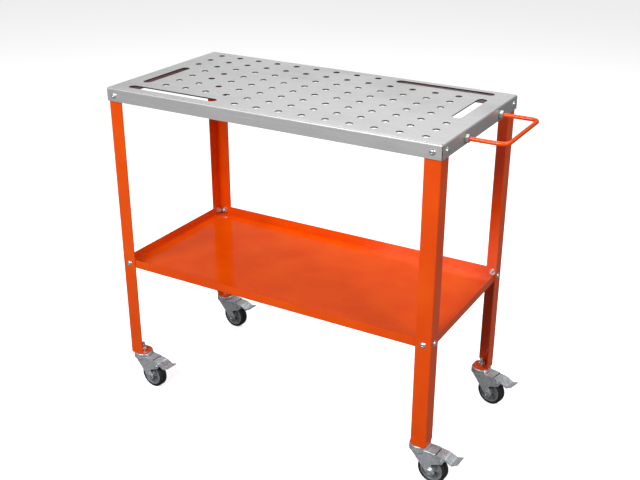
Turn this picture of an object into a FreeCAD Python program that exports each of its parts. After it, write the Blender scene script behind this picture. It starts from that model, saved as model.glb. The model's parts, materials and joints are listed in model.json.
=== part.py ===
import FreeCAD, Part
import os
from math import acos, atan2, cos, degrees, hypot, radians, sin, sqrt

# Perforated welding table on four braked swivel casters.
# Millimetres, +Z up, the floor at z = 0, the long side along X and the handle at the +X end.
# The origin is the middle of the overall footprint, so the worktop lies a little towards -X.

V = FreeCAD.Vector
UP = V(0, 0, 1)

# Cutters reach this far past the faces they cut, and joined blocks this far into each other
past = 1.0

# Overall sizes
table_length = 914.4
table_width = 457.2
table_height = 866.0
caster_height = 100.0

# Worktop: one folded sheet
top_sheet = 3.0
skirt_depth = 35.0
top_bend = 5.0
seam_gap = 3.0

# Fixture hole grid and clamp slots
hole_radius = 8.0
columns = 14
rows = 8
pitch_x = 61.8
pitch_y = 55.0
slot_width = 23.0
long_slot = 264.0
short_slot = 178.0

# Angle legs with a foot plate
flange = 40.0
leg_steel = 3.0
leg_bend = 4.0
leg_top_gap = 2.5
foot_size = 46.0
foot_clip = 12.0
foot_side_clip = 9.0
foot_inset = 1.0
flange_clip_across = 7.0
flange_clip_up = 11.0

# Lower tray: one folded sheet
tray_sheet = 1.5
tray_bend = 3.0
lip_height = 24.0
tray_underside = 369.5

# Fasteners (M8 through sheet and leg, M10 at the stems and the handle)
bolt_radius = 4.0
bolt_length = 16.0
bolt_head_radius = 8.0
bolt_head_height = 4.4
bolt_head_flat = 3.3
socket_flats = 5.0
socket_depth = 2.5
bolt_inset = 20.5
skirt_bolt_drop = 19.0
nut_flats = 13.0
nut_height = 6.5
nut_corner_share = 0.09
washer_radius = 8.0
washer_height = 1.6
m10_radius = 5.0
m10_nut_flats = 17.0
m10_nut_height = 8.0
m10_washer_radius = 10.0
m10_washer_height = 2.0
stem_washer_radius = 9.0
hole_play = 0.25
thread_play = 0.05

# Push handle
bar_radius = 5.0
handle_half_spacing = 105.0
handle_reach = 96.0
handle_bend = 18.0
stud_inside = 14.0

# Caster, in its own frame: stem along Z at the origin, the wheel trailing towards +X
stem_inset = 24.0
stem_top = 125.0
stem_tip_chamfer = 1.0
cap_radius = 26.5
cap_steel = 2.5
cap_underlip = 93.0
ball_radius = 2.5
ball_pitch_radius = 15.5
ball_count = 12
crown_top = 92.0
fork_steel = 2.5
crown_radius = 27.0
crown_rim_depth = 8.0
fork_half_width = 19.0
fork_plate_end = 50.0
fork_plate_corner = 3.0
fork_nose_x = -18.0
notch_behind_axle = 2.0
notch_above_axle = 20.0
king_head_radius = 9.0
king_head_height = 4.0
wheel_radius = 37.5
tread_width = 24.0
tread_rounding = 5.0
trail = 38.0
hub_radius = 29.5
hub_rim = 4.0
hub_half_width = 11.0
boss_radius = 11.0
boss_half_length = 14.5
web_thickness = 4.0
rib_count = 6
rib_thickness = 3.0
rib_half_width = 9.0
sleeve_radius = 6.0
axle_boss_radius = 11.5
axle_head_height = 5.3
axle_tail = 2.0
turn_play = 0.3
run_play = 0.05

# Brake pedal
pivot_x = 64.0
pivot_z = 76.0
pivot_eye_radius = 7.5
pin_radius = 3.0
pin_head_radius = 4.5
pin_head_height = 1.5
pedal_steel = 2.0
pedal_half_width = 18.5
pedal_line = [(52.0, 90.0), (75.0, 88.0), (93.0, 80.0), (108.0, 85.0)]
pedal_slope_share = 1.1
pedal_side_play = 0.5
cheek_from_pivot = [(-9.0, 12.0), (-6.0, -3.0), (-3.0, -8.0), (4.0, -7.0), (12.0, 6.0)]
pedal_swing = 22.0
shoe_radius = 2.5
shoe_offset = 6.1

# Trail direction of each caster, degrees from +X
caster_yaw = {"front_left": -6.0, "front_right": -3.0, "back_left": -5.0, "back_right": -13.0}

# Places worked out from the sizes above
table_x = -(handle_reach + bar_radius - bolt_head_height) / 2
half_length = table_length / 2
half_width = table_width / 2
underside = table_height - top_sheet
skirt_bolt_z = table_height - skirt_bolt_drop
tray_bolt_z = tray_underside + lip_height / 2
leg_face_x = half_length - top_sheet
leg_face_y = half_width - top_sheet
corners = {
    "front_left": (-1, -1),
    "front_right": (1, -1),
    "back_left": (-1, 1),
    "back_right": (1, 1),
}


def block(x0, x1, y0, y1, z0, z1):
    return Part.makeBox(x1 - x0, y1 - y0, z1 - z0, V(x0, y0, z0))


def rod(radius, start, direction, length):
    return Part.makeCylinder(radius, length, start, direction)


def ring(outer, inner, start, direction, length):
    return rod(outer, start, direction, length).cut(rod(inner, start, direction, length))


def prism(points, direction):
    closed = [V(*p) for p in points]
    closed.append(closed[0])
    return Part.Face(Part.makePolygon(closed)).extrude(direction)


def aimed(shape, start, direction):
    """Turn a shape built along +Z to lie along the direction, and move it to the start."""
    placed = shape.copy()
    placed.Placement = FreeCAD.Placement(start, FreeCAD.Rotation(UP, direction))
    return placed


def hexagon(flats, height, bore):
    """Hexagonal prism along +Z with two sides across Y, bored through when bore is not zero."""
    radius = flats / 2 / cos(radians(30))
    angles = [radians(60 * i) for i in range(6)]
    body = prism([(radius * cos(a), radius * sin(a), 0) for a in angles], V(0, 0, height))
    body = body.common(chamfered_disc(radius, height))
    if bore:
        body = body.cut(rod(bore, V(0, 0, 0), UP, height))
    return body


def chamfered_disc(radius, height):
    """Disc along +Z whose rims take the corners off a nut."""
    drop = radius * nut_corner_share
    outline = [
        (0, 0, 0),
        (radius - 2 * drop, 0, 0),
        (radius, 0, drop),
        (radius, 0, height - drop),
        (radius - 2 * drop, 0, height),
        (0, 0, height),
    ]
    return turned(outline, UP)


def turned(points, axis):
    closed = [V(*p) for p in points]
    closed.append(closed[0])
    return Part.Face(Part.makePolygon(closed)).revolve(V(0, 0, 0), axis, 360)


def on_table(shape):
    moved = shape.copy()
    moved.translate(V(table_x, 0, 0))
    return moved


# Sheet metal

def rounded_bar(half_x, half_y, depth, bend):
    """Block below z = 0 whose upper long edges are rounded on all four sides, mitred at the corners."""
    along_x = block(-half_x, half_x, -half_y, half_y, -depth, 0)
    across = [e for e in along_x.Edges if e.BoundBox.ZMin > -0.01 and e.BoundBox.XLength > 1]
    along_x = along_x.makeFillet(bend, across)
    along_y = block(-half_x, half_x, -half_y, half_y, -depth, 0)
    across = [e for e in along_y.Edges if e.BoundBox.ZMin > -0.01 and e.BoundBox.YLength > 1]
    along_y = along_y.makeFillet(bend, across)
    return along_x.common(along_y)


def folded_sheet(half_x, half_y, depth, sheet, bend):
    """Sheet with its top at z = 0 and four flanges folded down, open at the corner seams."""
    outer = rounded_bar(half_x, half_y, depth, bend)
    inner = rounded_bar(half_x - sheet, half_y - sheet, depth, bend - sheet)
    inner.translate(V(0, 0, -sheet))
    seams = []
    for sx, sy in corners.values():
        seam = block(-2 * bend, bend, -seam_gap / 2, seam_gap / 2, -depth - past, past)
        seam.rotate(V(0, 0, 0), UP, degrees(atan2(sy, sx)))
        seam.translate(V(sx * half_x, sy * half_y, 0))
        seams.append(seam)
    return outer.cut([inner] + seams)


def round_slot(x, y, length, width, along_x):
    """Cutter for a round-ended slot through the worktop."""
    reach = (length - width) / 2
    depth = 3 * top_sheet
    slot = block(-reach, reach, -width / 2, width / 2, -depth, depth)
    for end in (-reach, reach):
        slot = slot.fuse(rod(width / 2, V(end, 0, -depth), UP, 2 * depth))
    if not along_x:
        slot.rotate(V(0, 0, 0), UP, 90)
    slot.translate(V(x, y, table_height))
    return slot


def hole_place(column, row):
    """Column 0 is the left one and row 0 the back one."""
    x = (column - (columns - 1) / 2) * pitch_x
    y = ((rows - 1) / 2 - row) * pitch_y
    return x, y


def has_hole(column, row):
    """Slots take the place of holes. The layout is the same when turned half round."""
    if row >= rows / 2:
        return has_hole(columns - 1 - column, rows - 1 - row)
    in_long_slot = row == 0 and column >= columns - 5
    in_end_slot = column == columns - 1 and row > 0
    in_far_slot = column == 0 and row == rows / 2 - 1
    return not (in_long_slot or in_end_slot or in_far_slot)


slot_places = []
for half_turn in (1, -1):
    x, y = hole_place(columns - 3, 0)
    slot_places.append((x * half_turn, y * half_turn, long_slot, True))
    x, y = hole_place(columns - 1, 2.5)
    slot_places.append((x * half_turn, y * half_turn, short_slot, False))


def skirt_bolts():
    """Start and direction of every bolt through skirt and leg, from outside inwards."""
    places = []
    for sx, sy in corners.values():
        x = sx * (leg_face_x - bolt_inset)
        y = sy * (leg_face_y - bolt_inset)
        places.append((V(x, sy * half_width, skirt_bolt_z), V(0, -sy, 0)))
        places.append((V(sx * half_length, y, skirt_bolt_z), V(-sx, 0, 0)))
    return places


def tray_bolts():
    """Start and direction of every bolt through leg and tray lip."""
    places = []
    for sx, sy in corners.values():
        x = sx * (leg_face_x - bolt_inset)
        y = sy * (leg_face_y - bolt_inset)
        places.append((V(x, sy * leg_face_y, tray_bolt_z), V(0, -sy, 0)))
        places.append((V(sx * leg_face_x, y, tray_bolt_z), V(-sx, 0, 0)))
    return places


def bolt_cutters(places):
    reach = 3 * top_sheet
    return [rod(bolt_radius + hole_play, start - d * reach, d, 3 * reach) for start, d in places]


def handle_ends():
    return [V(half_length, side * handle_half_spacing, skirt_bolt_z) for side in (-1, 1)]


def make_worktop():
    sheet = folded_sheet(half_length, half_width, skirt_depth, top_sheet, top_bend)
    sheet.translate(V(0, 0, table_height))
    cutters = bolt_cutters(skirt_bolts())
    for column in range(columns):
        for row in range(rows):
            if has_hole(column, row):
                x, y = hole_place(column, row)
                start = V(x, y, table_height - 2 * top_sheet)
                cutters.append(rod(hole_radius, start, UP, 3 * top_sheet))
    for x, y, length, along_x in slot_places:
        cutters.append(round_slot(x, y, length, slot_width, along_x))
    reach = 3 * top_sheet
    for end in handle_ends():
        start = end - V(reach, 0, 0)
        cutters.append(rod(m10_radius + hole_play, start, V(1, 0, 0), 2 * reach))
    return sheet.cut(cutters)


def make_tray():
    half_x = leg_face_x - leg_steel
    half_y = leg_face_y - leg_steel
    sheet = folded_sheet(half_x, half_y, lip_height, tray_sheet, tray_bend)
    sheet.rotate(V(0, 0, 0), V(1, 0, 0), 180)
    sheet.translate(V(0, 0, tray_underside))
    return sheet.cut(bolt_cutters(tray_bolts()))


def make_leg(sx, sy):
    """Leg built with its outer corner on the Z axis and its flanges along +X and +Y, then mirrored out."""
    low = caster_height
    high = underside - leg_top_gap
    outer = block(0, flange, 0, flange, low, high)
    far = flange + past
    inner = block(leg_steel, far, leg_steel, far, low - past, high + past)
    outer = outer.makeFillet(leg_bend, upright_edges(outer, 0, 0))
    inner = inner.makeFillet(leg_bend - leg_steel, upright_edges(inner, leg_steel, leg_steel))
    leg = outer.cut(inner)
    cut_x = [
        (flange - flange_clip_across, -past, low - past),
        (flange - flange_clip_across, -past, low),
        (flange, -past, low + flange_clip_up),
        (far, -past, low + flange_clip_up),
        (far, -past, low - past),
    ]
    cut_y = [(y, x, z) for x, y, z in cut_x]
    leg = leg.cut([
        prism(cut_x, V(0, leg_steel + 2 * past, 0)),
        prism(cut_y, V(leg_steel + 2 * past, 0, 0)),
    ])
    near = foot_size - foot_clip
    side = foot_inset + leg_steel
    outline = [
        (foot_inset, foot_inset, low),
        (foot_size - foot_side_clip, side, low),
        (foot_size, side + foot_side_clip, low),
        (foot_size, near, low),
        (near, foot_size, low),
        (side + foot_side_clip, foot_size, low),
        (side, foot_size - foot_side_clip, low),
    ]
    plate = prism(outline, V(0, 0, leg_steel))
    leg = leg.fuse(plate).removeSplitter()
    stem_place = V(stem_inset, stem_inset, low - past)
    leg = leg.cut(rod(m10_radius + hole_play, stem_place, UP, leg_steel + 2 * past))
    if sx > 0:
        leg = leg.mirror(V(0, 0, 0), V(1, 0, 0))
    if sy > 0:
        leg = leg.mirror(V(0, 0, 0), V(0, 1, 0))
    leg.translate(V(sx * leg_face_x, sy * leg_face_y, 0))
    return leg.cut(bolt_cutters(skirt_bolts() + tray_bolts()))


def upright_edges(shape, x, y):
    found = []
    for edge in shape.Edges:
        middle = edge.CenterOfMass
        if edge.BoundBox.ZLength > 1 and abs(middle.x - x) < 0.01 and abs(middle.y - y) < 0.01:
            found.append(edge)
    return found


def make_handle():
    """Round bar bent to a U, with a thinner threaded stud through the skirt at each end."""
    face = half_length
    begin = face + m10_washer_height + m10_nut_height
    out = face + handle_reach
    side = handle_half_spacing
    bend = handle_bend
    z = skirt_bolt_z
    cut = bend * (1 - cos(radians(45)))
    p = [
        V(begin, -side, z),
        V(out - bend, -side, z),
        V(out - cut, -side + cut, z),
        V(out, -side + bend, z),
        V(out, side - bend, z),
        V(out - cut, side - cut, z),
        V(out - bend, side, z),
        V(begin, side, z),
    ]
    path = Part.Wire([
        Part.LineSegment(p[0], p[1]).toShape(),
        Part.Arc(p[1], p[2], p[3]).toShape(),
        Part.LineSegment(p[3], p[4]).toShape(),
        Part.Arc(p[4], p[5], p[6]).toShape(),
        Part.LineSegment(p[6], p[7]).toShape(),
    ])
    circle = Part.Wire(Part.makeCircle(bar_radius, p[0], V(1, 0, 0)))
    bar = path.makePipeShell([circle], True, False)
    stud_length = begin - face + top_sheet + stud_inside
    for end in handle_ends():
        start = V(begin - stud_length, end.y, z)
        bar = bar.fuse(rod(bar_radius - thread_play, start, V(1, 0, 0), stud_length))
    return bar.removeSplitter()


def make_handle_nuts():
    nuts = []
    nut = hexagon(m10_nut_flats, m10_nut_height, m10_radius + thread_play)
    for end in handle_ends():
        nuts.append(aimed(nut, end + V(m10_washer_height, 0, 0), V(1, 0, 0)))
        nuts.append(aimed(nut, end - V(top_sheet + m10_washer_height, 0, 0), V(-1, 0, 0)))
    return nuts


def make_handle_washers():
    washers = []
    for end in handle_ends():
        inside = end - V(top_sheet + m10_washer_height, 0, 0)
        for start in (end, inside):
            washers.append(
                ring(m10_washer_radius, m10_radius + hole_play, start, V(1, 0, 0), m10_washer_height)
            )
    return washers


# Bolts, washers and nuts of the frame

def button_bolt():
    """Domed head above z = 0 with a flat crown and a hexagon socket, shank below it."""
    rise = bolt_head_height
    dome_centre = (bolt_head_flat**2 + rise**2 - bolt_head_radius**2) / (2 * rise)
    dome = Part.makeSphere(sqrt(bolt_head_radius**2 + dome_centre**2), V(0, 0, dome_centre))
    head = dome.common(rod(bolt_head_radius + past, V(0, 0, 0), UP, rise))
    socket = hexagon(socket_flats, 2 * socket_depth, 0)
    socket.translate(V(0, 0, rise - socket_depth))
    shank = rod(bolt_radius, V(0, 0, -bolt_length), UP, bolt_length)
    return head.fuse(shank).cut(socket)


def make_frame_fasteners():
    stacks = [(place, top_sheet + leg_steel) for place in skirt_bolts()]
    stacks += [(place, leg_steel + tray_sheet) for place in tray_bolts()]
    bolt = button_bolt()
    nut = hexagon(nut_flats, nut_height, bolt_radius + thread_play)
    nut.rotate(V(0, 0, 0), UP, 30)
    bolts = []
    washers = []
    nuts = []
    for (start, inward), grip in stacks:
        bolts.append(aimed(bolt, start, inward * -1))
        face = start + inward * grip
        washers.append(ring(washer_radius, bolt_radius + hole_play, face, inward, washer_height))
        nuts.append(aimed(nut, face + inward * washer_height, inward))
    return bolts, washers, nuts


def stem_places():
    places = {}
    for name, (sx, sy) in corners.items():
        places[name] = V(table_x + sx * (leg_face_x - stem_inset), sy * (leg_face_y - stem_inset), 0)
    return places


def make_stem_fasteners():
    nuts = []
    washers = []
    nut = hexagon(m10_nut_flats, m10_nut_height, m10_radius + thread_play)
    for place in stem_places().values():
        plate_top = place + V(0, 0, caster_height + leg_steel)
        bore = m10_radius + hole_play
        washers.append(ring(stem_washer_radius, bore, plate_top, UP, m10_washer_height))
        nuts.append(aimed(nut, plate_top + V(0, 0, m10_washer_height), UP))
    return nuts, washers


# Caster pieces, each in the caster's own frame

def side_prism(points, y0, y1):
    """Outline in the XZ plane, made solid from y0 to y1."""
    return prism([(x, y0, z) for x, z in points], V(0, y1 - y0, 0))


def tangent_point(x, z, centre_x, centre_z, radius, side):
    """Where the line from a point touches a circle, on its left (1) or right (-1) side."""
    distance = hypot(centre_x - x, centre_z - z)
    towards = atan2(z - centre_z, x - centre_x)
    angle = towards + side * acos(radius / distance)
    return centre_x + radius * cos(angle), centre_z + radius * sin(angle)


def make_stem():
    head_top = crown_top - fork_steel - turn_play
    stem = rod(m10_radius, V(0, 0, head_top), UP, stem_top - head_top)
    tip = max(stem.Edges, key=lambda edge: edge.CenterOfMass.z)
    stem = stem.makeChamfer(stem_tip_chamfer, [tip])
    head = rod(king_head_radius, V(0, 0, head_top - king_head_height), UP, king_head_height)
    return stem.fuse(head).removeSplitter()


def make_race_cap():
    plate = rod(cap_radius, V(0, 0, cap_underlip), UP, caster_height - cap_underlip)
    edge = [e for e in plate.Edges if e.BoundBox.ZMin > caster_height - 0.01]
    plate = plate.makeFillet(cap_steel, edge)
    hollow_height = caster_height - cap_steel - cap_underlip
    hollow = rod(cap_radius - cap_steel, V(0, 0, cap_underlip), UP, hollow_height)
    bore = rod(m10_radius + thread_play, V(0, 0, cap_underlip), UP, cap_radius)
    return plate.cut([hollow, bore])


def make_balls():
    z = caster_height - cap_steel - turn_play - ball_radius
    balls = []
    for i in range(ball_count):
        angle = radians(360 * i / ball_count)
        centre = V(ball_pitch_radius * cos(angle), ball_pitch_radius * sin(angle), z)
        balls.append(Part.makeSphere(ball_radius, centre))
    return balls


def make_fork():
    inner = fork_half_width - fork_steel
    under_crown = crown_top - fork_steel
    rim_low = crown_top - crown_rim_depth
    crown = rod(crown_radius, V(0, 0, under_crown), UP, fork_steel)
    plate = block(0, fork_plate_end, -fork_half_width, fork_half_width, under_crown, crown_top)
    rim = ring(crown_radius, crown_radius - fork_steel, V(0, 0, rim_low), UP, crown_rim_depth)
    rim = rim.cut(block(0, 2 * crown_radius, -inner, inner, 0, under_crown))
    left = tangent_point(fork_nose_x, rim_low, trail, wheel_radius, axle_boss_radius, 1)
    notch = (trail + notch_behind_axle, wheel_radius + notch_above_axle)
    right = tangent_point(notch[0], notch[1], trail, wheel_radius, axle_boss_radius, -1)
    eye_low = (pivot_x, pivot_z - pivot_eye_radius)
    eye_high = (pivot_x, pivot_z + pivot_eye_radius)
    outline = [
        (fork_nose_x, crown_top),
        (fork_nose_x, rim_low),
        left,
        (trail, wheel_radius),
        right,
        notch,
        eye_low,
        eye_high,
        (fork_plate_end, under_crown - fork_plate_corner),
        (fork_plate_end, crown_top),
    ]
    fork = crown.fuse([plate, rim])
    for y0, y1 in ((-fork_half_width, -inner), (inner, fork_half_width)):
        side = side_prism(outline, y0, y1)
        across = V(0, 1, 0)
        boss = rod(axle_boss_radius, V(trail, y0, wheel_radius), across, y1 - y0)
        eye = rod(pivot_eye_radius, V(pivot_x, y0, pivot_z), across, y1 - y0)
        fork = fork.fuse([side, boss, eye])
    cutters = [
        rod(m10_radius + turn_play, V(0, 0, 0), UP, caster_height),
        cross_rod(bolt_radius + thread_play, trail, wheel_radius, fork_half_width + past),
        cross_rod(pin_radius + thread_play, pivot_x, pivot_z, fork_half_width + past),
    ]
    return fork.removeSplitter().cut(cutters)


def cross_rod(radius, x, z, half_length_y):
    return rod(radius, V(x, -half_length_y, z), V(0, 1, 0), 2 * half_length_y)


def make_axle_bolt():
    start = V(trail, -fork_half_width, wheel_radius)
    head = aimed(hexagon(nut_flats, axle_head_height, 0), start, V(0, -1, 0))
    length = 2 * fork_half_width + nut_height + axle_tail
    return head.fuse(rod(bolt_radius, start, V(0, 1, 0), length))


def make_axle_nut():
    nut = hexagon(nut_flats, nut_height, bolt_radius + thread_play)
    return aimed(nut, V(trail, fork_half_width, wheel_radius), V(0, 1, 0))


def make_axle_sleeve():
    inner = fork_half_width - fork_steel
    start = V(trail, -inner, wheel_radius)
    return ring(sleeve_radius, bolt_radius + thread_play, start, V(0, 1, 0), 2 * inner)


def wheel_part(outline):
    """Turn an outline of (radius, offset along the axle) about the axle."""
    body = turned([(r, y, 0) for r, y in outline], V(0, 1, 0))
    body.translate(V(trail, 0, wheel_radius))
    return body


def make_hub():
    bore = sleeve_radius + run_play
    outline = [
        (bore, -boss_half_length),
        (boss_radius, -boss_half_length),
        (boss_radius, -web_thickness / 2),
        (hub_radius - hub_rim, -web_thickness / 2),
        (hub_radius - hub_rim, -hub_half_width),
        (hub_radius, -hub_half_width),
    ]
    outline += [(r, -y) for r, y in reversed(outline)]
    hub = wheel_part(outline)
    ribs = []
    for i in range(rib_count):
        rib = block(
            boss_radius - past, hub_radius - past,
            -rib_half_width, rib_half_width,
            -rib_thickness / 2, rib_thickness / 2,
        )
        rib.rotate(V(0, 0, 0), V(0, 1, 0), 360 * i / rib_count)
        rib.translate(V(trail, 0, wheel_radius))
        ribs.append(rib)
    return hub.fuse(ribs).removeSplitter()


def make_tyre():
    half = tread_width / 2
    inner = hub_radius + run_play
    tyre = wheel_part([(inner, -half), (wheel_radius, -half), (wheel_radius, half), (inner, half)])
    shoulders = [e for e in tyre.Edges if e.BoundBox.XLength > 2 * wheel_radius - 1]
    return tyre.makeFillet(tread_rounding, shoulders)


def make_pedal_pin():
    pin = cross_rod(pin_radius, pivot_x, pivot_z, fork_half_width)
    for side in (-1, 1):
        start = V(pivot_x, side * fork_half_width, pivot_z)
        pin = pin.fuse(rod(pin_head_radius, start, V(0, side, 0), pin_head_height))
    return pin.removeSplitter()


def make_pedal():
    """Bent tread plate with a cheek inside each fork arm and the brake shoe between the cheeks."""
    under = [(x, z - pedal_steel * pedal_slope_share) for x, z in reversed(pedal_line)]
    pedal = side_prism(pedal_line + under, -pedal_half_width, pedal_half_width)
    cheek = [(pivot_x + x, pivot_z + z) for x, z in cheek_from_pivot]
    outside = fork_half_width - fork_steel - pedal_side_play
    for y0, y1 in ((-outside, -outside + pedal_steel), (outside - pedal_steel, outside)):
        pedal = pedal.fuse(side_prism(cheek, y0, y1))
    towards_wheel = atan2(wheel_radius - pivot_z, trail - pivot_x)
    shoe_angle = towards_wheel + radians(pedal_swing)
    shoe_x = pivot_x + shoe_offset * cos(shoe_angle)
    shoe_z = pivot_z + shoe_offset * sin(shoe_angle)
    pedal = pedal.fuse(cross_rod(shoe_radius, shoe_x, shoe_z, outside)).removeSplitter()
    return pedal.cut(cross_rod(pin_radius + 2 * run_play, pivot_x, pivot_z, fork_half_width))


caster_makers = {
    "stem": make_stem,
    "race_cap": make_race_cap,
    "race_balls": make_balls,
    "fork": make_fork,
    "axle_bolt": make_axle_bolt,
    "axle_nut": make_axle_nut,
    "axle_sleeve": make_axle_sleeve,
    "hub": make_hub,
    "tyre": make_tyre,
    "pedal_pin": make_pedal_pin,
    "brake_pedal": make_pedal,
}


def placed_caster(shape, place, yaw):
    moved = shape.copy()
    moved.rotate(V(0, 0, 0), UP, yaw)
    moved.translate(place)
    return moved


def save(node, shapes):
    """Write one node: a single solid, or a group of separate solids."""
    if isinstance(shapes, list):
        shapes = Part.makeCompound(shapes)
    if not shapes.isValid():
        print("not valid:", node)
    shapes.exportStep(f"parts/{node}.step")


def build():
    os.makedirs("parts", exist_ok=True)
    bolts, washers, nuts = make_frame_fasteners()
    save("worktop", on_table(make_worktop()))
    save("lower_tray", on_table(make_tray()))
    save("push_handle", on_table(make_handle()))
    save("handle_nuts", [on_table(s) for s in make_handle_nuts()])
    save("handle_washers", [on_table(s) for s in make_handle_washers()])
    save("frame_bolts", [on_table(s) for s in bolts])
    save("frame_washers", [on_table(s) for s in washers])
    save("frame_nuts", [on_table(s) for s in nuts])
    for name, (sx, sy) in corners.items():
        save(f"{name}_leg", on_table(make_leg(sx, sy)))
    stem_nuts, stem_washers = make_stem_fasteners()
    save("stem_nuts", stem_nuts)
    save("stem_washers", stem_washers)
    for piece, maker in caster_makers.items():
        made = maker()
        for name, place in stem_places().items():
            yaw = caster_yaw[name]
            if isinstance(made, list):
                save(f"{name}_{piece}", [placed_caster(s, place, yaw) for s in made])
            else:
                save(f"{name}_{piece}", placed_caster(made, place, yaw))


build()
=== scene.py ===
import json
import math

import bmesh
import bpy
from mathutils import Matrix, Vector


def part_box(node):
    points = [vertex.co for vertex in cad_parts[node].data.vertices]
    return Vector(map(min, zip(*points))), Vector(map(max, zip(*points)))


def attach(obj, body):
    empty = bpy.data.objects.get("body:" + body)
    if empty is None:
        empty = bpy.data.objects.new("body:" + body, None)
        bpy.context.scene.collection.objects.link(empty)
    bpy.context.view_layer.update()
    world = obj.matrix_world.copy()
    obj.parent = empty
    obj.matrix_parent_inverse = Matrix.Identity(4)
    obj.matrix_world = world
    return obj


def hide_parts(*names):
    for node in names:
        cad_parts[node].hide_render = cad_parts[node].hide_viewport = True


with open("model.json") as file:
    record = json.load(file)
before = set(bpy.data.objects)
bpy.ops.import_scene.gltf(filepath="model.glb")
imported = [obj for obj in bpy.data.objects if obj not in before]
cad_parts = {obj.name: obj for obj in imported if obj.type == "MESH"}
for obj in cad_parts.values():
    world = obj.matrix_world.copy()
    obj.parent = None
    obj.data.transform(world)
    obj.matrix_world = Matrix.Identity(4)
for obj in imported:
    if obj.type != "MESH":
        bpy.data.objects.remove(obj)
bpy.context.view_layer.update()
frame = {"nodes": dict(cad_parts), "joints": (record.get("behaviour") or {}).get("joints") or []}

mm = 0.001
up = Vector((0, 0, 1))
print("frame loaded")

# Camera
cameraLook = {
    "place": (1.13266, -1.98738, 1.48998),
    "azimuth": 30.06,  # degrees from the front, towards the handle end
    "elevation": 24.0,
    "roll": 0.116,
    "lens": 53.73,  # on a 36 mm wide sensor
}
cameraData = bpy.data.cameras.new("camera")
cameraData.lens = cameraLook["lens"]
cameraData.sensor_width = 36
camera = bpy.data.objects.new("camera", cameraData)
bpy.context.scene.collection.objects.link(camera)
turn = Matrix.Rotation(math.radians(cameraLook["azimuth"]), 4, "Z")
tilt = Matrix.Rotation(math.radians(90 - cameraLook["elevation"]), 4, "X")
lean = Matrix.Rotation(math.radians(cameraLook["roll"]), 4, "Z")
camera.matrix_world = Matrix.Translation(cameraLook["place"]) @ turn @ tilt @ lean
bpy.context.scene.camera = camera


# Materials

def linear(code):  # linear colour of an sRGB hex code
    parts = [int(code[i:i + 2], 16) / 255 for i in (1, 3, 5)]
    parts = [c / 12.92 if c <= 0.04045 else ((c + 0.055) / 1.055) ** 2.4 for c in parts]
    return (*parts, 1)


def add(tree, kind, inputs=None, **settings):
    # add a node with its settings, input values and incoming links
    made = tree.nodes.new(kind)
    for key, value in settings.items():
        setattr(made, key, value)
    for key, value in (inputs or {}).items():
        if isinstance(value, bpy.types.NodeSocket):
            tree.links.new(value, made.inputs[key])
        else:
            made.inputs[key].default_value = value
    return made


def noise(tree, coords, stretch, size, detail=3, rough=0.55):
    # noise whose features are about size mm, stretched by the three factors
    scaled = add(tree, "ShaderNodeMapping", {"Vector": coords, "Scale": [1 / s for s in stretch]})
    made = add(
        tree, "ShaderNodeTexNoise",
        {"Vector": scaled.outputs[0], "Scale": 1 / (size * mm), "Detail": detail, "Roughness": rough},
    )
    return made.outputs["Fac"]


def ramp(tree, fac, stops):  # colour ramp of (position, hex) stops
    made = add(tree, "ShaderNodeValToRGB", {"Fac": fac})
    elements = made.color_ramp.elements
    while len(elements) < len(stops):
        elements.new(0.5)
    for element, (position, code) in zip(elements, stops):
        element.position = position
        element.color = linear(code)
    return made.outputs["Color"]


def spread(tree, fac, low, high, fromLow=0.3, fromHigh=0.7):
    made = add(
        tree, "ShaderNodeMapRange",
        {"Value": fac, "From Min": fromLow, "From Max": fromHigh, "To Min": low, "To Max": high},
    )
    return made.outputs["Result"]


def blendColour(tree, fac, first, second, mode="MIX"):
    made = add(tree, "ShaderNodeMix", {"Factor": fac}, data_type="RGBA", blend_type=mode)
    for key, value in ((6, first), (7, second)):
        if isinstance(value, bpy.types.NodeSocket):
            tree.links.new(value, made.inputs[key])
        else:
            made.inputs[key].default_value = value
    return made.outputs[2]


def bump(tree, height, depth, strength=1.0, below=None):  # bump of the given depth in mm
    inputs = {"Height": height, "Distance": depth * mm, "Strength": strength}
    if below is not None:
        inputs["Normal"] = below
    return add(tree, "ShaderNodeBump", inputs).outputs["Normal"]


def newMaterial(name):
    material = bpy.data.materials.new(name)
    material.use_nodes = True
    tree = material.node_tree
    tree.nodes.clear()
    coords = add(tree, "ShaderNodeTexCoord").outputs["Object"]
    shader = add(tree, "ShaderNodeBsdfPrincipled")
    add(tree, "ShaderNodeOutputMaterial", {"Surface": shader.outputs[0]})
    return material, tree, coords, shader


def link(tree, shader, **values):
    for key, value in values.items():
        socket = shader.inputs[key.replace("_", " ")]
        if isinstance(value, bpy.types.NodeSocket):
            tree.links.new(value, socket)
        else:
            socket.default_value = value


steelLook = {
    "dark": "#bdbdbd",
    "light": "#d2d2d2",
    "smudge": "#afb0b1",
    "grainSize": 1.2,  # mm, drawn coarser than the real 0.1 mm so that it still shows
    "grainStretch": (70, 1, 1),
    "roughness": (0.42, 0.54),
    "metal": 0.62,  # the rest is the pale scatter of the brushed face
    "scratchDepth": 0.02,
}


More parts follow.
